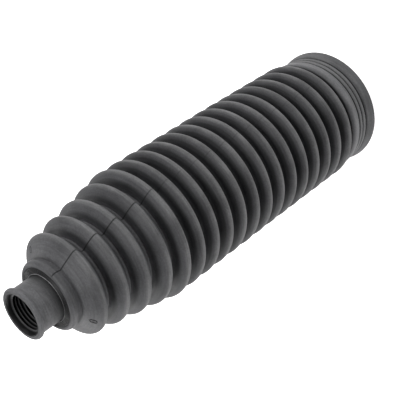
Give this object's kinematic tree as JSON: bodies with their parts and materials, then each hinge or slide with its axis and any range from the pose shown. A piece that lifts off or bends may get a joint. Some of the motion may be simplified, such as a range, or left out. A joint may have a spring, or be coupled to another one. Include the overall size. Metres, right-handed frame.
{
  "type": "rubber bellows boot",
  "caption": "Long convoluted rubber boot with even folds, a tapered end with a small ribbed neck, and a wide open cuff with a clamp seat; seals a steering rack's sliding joint.",
  "frame": {"origin": "centre of the large end's face, where the boot's axis meets the plane it stands on", "axes": "+Z along the boot's axis, from the large end up to the small end; the outline is the same all round, so +X and +Y are free"},
  "size_m": [0.0596, 0.0596, 0.1984],
  "materials": {
    "rubber": "satin black, as moulded"
  },
  "bodies": {
    "root": {"bellows_boot": "rubber"}
  },
  "joints": []
}
